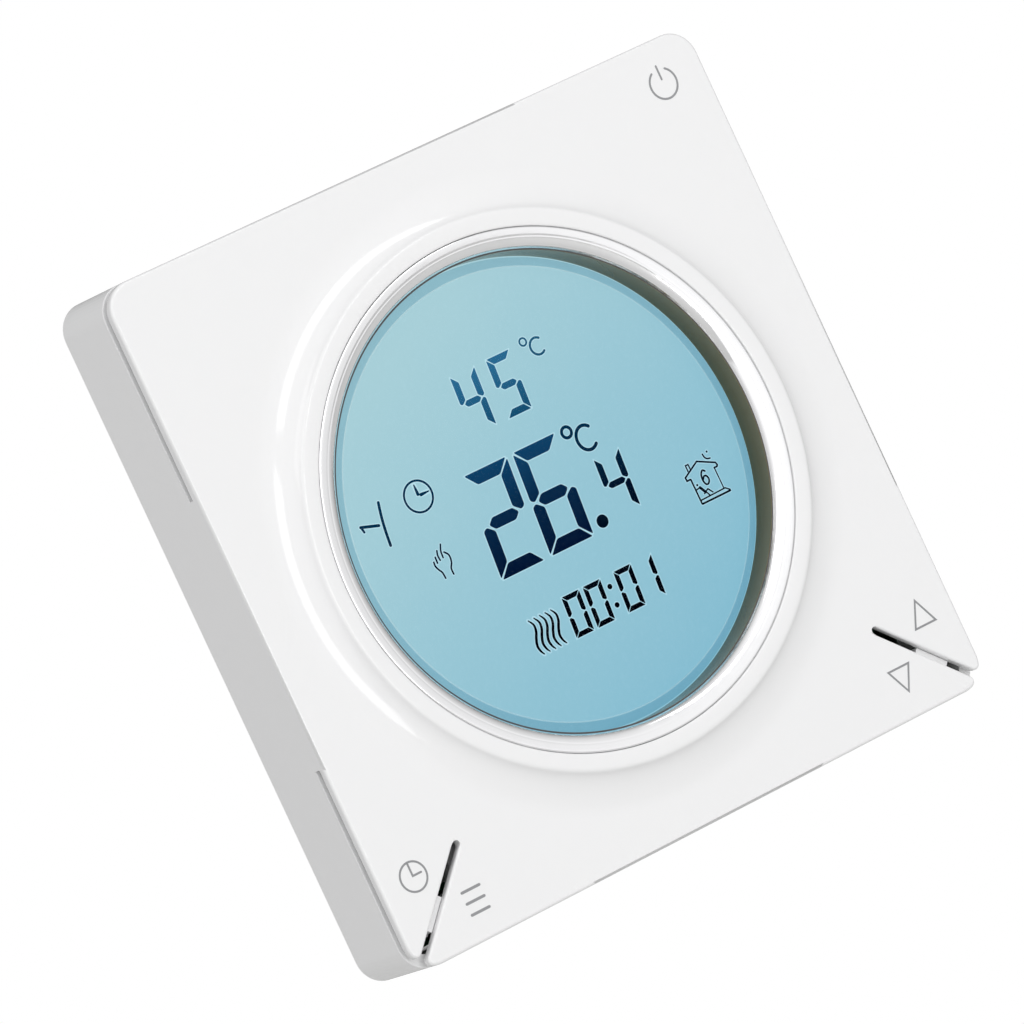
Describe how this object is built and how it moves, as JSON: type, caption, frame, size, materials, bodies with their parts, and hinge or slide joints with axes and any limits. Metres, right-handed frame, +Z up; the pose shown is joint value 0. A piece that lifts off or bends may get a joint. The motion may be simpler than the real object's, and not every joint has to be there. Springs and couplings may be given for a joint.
{
  "type": "wall thermostat",
  "caption": "Square white wall thermostat with a round backlit display in a chrome ring, flexing corner keys and a pull-off front on a rear power box for a wall box",
  "frame": {"origin": "on the wall face, at the centre of the two wall screws", "axes": "+Z up, +X to the right seen from the room, +Y into the wall; the display faces -Y"},
  "size_m": [0.086, 0.0406, 0.086],
  "materials": {
    "cover_white": "smooth satin white moulding",
    "key_white": "smooth satin white moulding",
    "bezel_chrome": "bright plated ring",
    "window_clear": "clear polished window",
    "lcd_blue": "backlit pale blue display glass",
    "seal_foam": "soft black foam",
    "guide_clear": "clear light guide",
    "film_white": "white reflector film",
    "led_yellow": "small white-package light",
    "frame_plastic": "light grey moulding",
    "zebra_pink": "layered conductive elastomer",
    "board_green": "green lacquered circuit board",
    "screw_steel": "zinc-plated steel",
    "switch_black": "black moulding",
    "chip_black": "black moulded package",
    "can_steel": "bright drawn steel",
    "sensor_black": "black dipped bead",
    "header_black": "black moulding",
    "tray_white": "fine-textured white moulding",
    "frame_steel": "galvanised steel sheet",
    "box_white": "flame-proof white moulding",
    "pin_gold": "gold-flashed pins",
    "relay_blue": "blue moulded case",
    "ferrite_black": "dark ferrite",
    "coil_yellow": "taped winding",
    "film_yellow": "yellow moulded case",
    "can_blue": "sleeved aluminium can",
    "varistor_blue": "blue coated disc",
    "fuse_tan": "tan ceramic body",
    "block_green": "green moulded block",
    "clamp_brass": "tinned brass cage"
  },
  "bodies": {
    "base": {"mounting_frame": "frame_steel", "power_box": "box_white", "box_screws": "screw_steel", "power_board": "board_green", "pin_header": "pin_gold", "relay": "relay_blue", "transformer_core": "ferrite_black", "transformer_coil": "coil_yellow", "supply_capacitor": "film_yellow", "smoothing_capacitor": "can_blue", "varistor": "varistor_blue", "fuse": "fuse_tan", "rectifier": "chip_black", "terminal_block": "block_green", "terminal_clamps": "clamp_brass", "terminal_screws": "screw_steel"},
    "front": {"front_cover": "cover_white", "chrome_bezel": "bezel_chrome", "display_lens": "window_clear", "dust_seal": "seal_foam", "lcd_glass": "lcd_blue", "backlight_guide": "guide_clear", "backlight_reflector": "film_white", "backlight_leds": "led_yellow", "lcd_frame": "frame_plastic", "zebra_strip": "zebra_pink", "control_board": "board_green", "board_screws": "screw_steel", "switch_housings": "switch_black", "switch_covers": "can_steel", "microcontroller": "chip_black", "display_driver": "chip_black", "crystal": "can_steel", "backup_cell": "can_steel", "temperature_sensor": "sensor_black", "socket_header": "header_black", "back_tray": "tray_white"},
    "key_power": {"key_power": "key_white"},
    "plunger_power": {"plunger_power": "switch_black"},
    "key_up": {"key_up": "key_white"},
    "plunger_up": {"plunger_up": "switch_black"},
    "key_down": {"key_down": "key_white"},
    "plunger_down": {"plunger_down": "switch_black"},
    "key_clock": {"key_clock": "key_white"},
    "plunger_clock": {"plunger_clock": "switch_black"},
    "key_mode": {"key_mode": "key_white"},
    "plunger_mode": {"plunger_mode": "switch_black"}
  },
  "joints": [
    {"name": "front_unit_pull", "type": "slide", "parent": "base", "child": "front", "axis": [0, -1, 0], "range_m": [0, 0.03]},
    {"name": "key_power_press", "type": "hinge", "parent": "front", "child": "key_power", "pos_m": [0.03, -0.0129, 0.03], "axis": [-0.7071, 0, 0.7071], "range_deg": [0, 1.5], "stiffness_Nm_per_rad": 0.4},
    {"name": "plunger_power_travel", "type": "slide", "parent": "front", "child": "plunger_power", "axis": [0, 1, 0], "range_m": [0, 0.0003]},
    {"name": "key_up_press", "type": "hinge", "parent": "front", "child": "key_up", "pos_m": [0.043, -0.0129, -0.017], "axis": [0.6391, 0, 0.7691], "range_deg": [0, 2], "stiffness_Nm_per_rad": 0.4},
    {"name": "plunger_up_travel", "type": "slide", "parent": "front", "child": "plunger_up", "axis": [0, 1, 0], "range_m": [0, 0.0003]},
    {"name": "key_down_press", "type": "hinge", "parent": "front", "child": "key_down", "pos_m": [0.017, -0.0129, -0.043], "axis": [0.7691, 0, 0.6391], "range_deg": [0, 2], "stiffness_Nm_per_rad": 0.4},
    {"name": "plunger_down_travel", "type": "slide", "parent": "front", "child": "plunger_down", "axis": [0, 1, 0], "range_m": [0, 0.0003]},
    {"name": "key_clock_press", "type": "hinge", "parent": "front", "child": "key_clock", "pos_m": [-0.043, -0.0129, -0.017], "axis": [0.6391, 0, -0.7691], "range_deg": [0, 2], "stiffness_Nm_per_rad": 0.4},
    {"name": "plunger_clock_travel", "type": "slide", "parent": "front", "child": "plunger_clock", "axis": [0, 1, 0], "range_m": [0, 0.0003]},
    {"name": "key_mode_press", "type": "hinge", "parent": "front", "child": "key_mode", "pos_m": [-0.017, -0.0129, -0.043], "axis": [0.7691, 0, -0.6391], "range_deg": [0, 2], "stiffness_Nm_per_rad": 0.4},
    {"name": "plunger_mode_travel", "type": "slide", "parent": "front", "child": "plunger_mode", "axis": [0, 1, 0], "range_m": [0, 0.0003]}
  ],
  "couplings": [
    {"joint": "plunger_power_travel", "follows": "key_power_press", "m_per_rad": 0.0096},
    {"joint": "plunger_up_travel", "follows": "key_up_press", "m_per_rad": 0.0074},
    {"joint": "plunger_down_travel", "follows": "key_down_press", "m_per_rad": 0.0074},
    {"joint": "plunger_clock_travel", "follows": "key_clock_press", "m_per_rad": 0.0074},
    {"joint": "plunger_mode_travel", "follows": "key_mode_press", "m_per_rad": 0.0074}
  ]
}
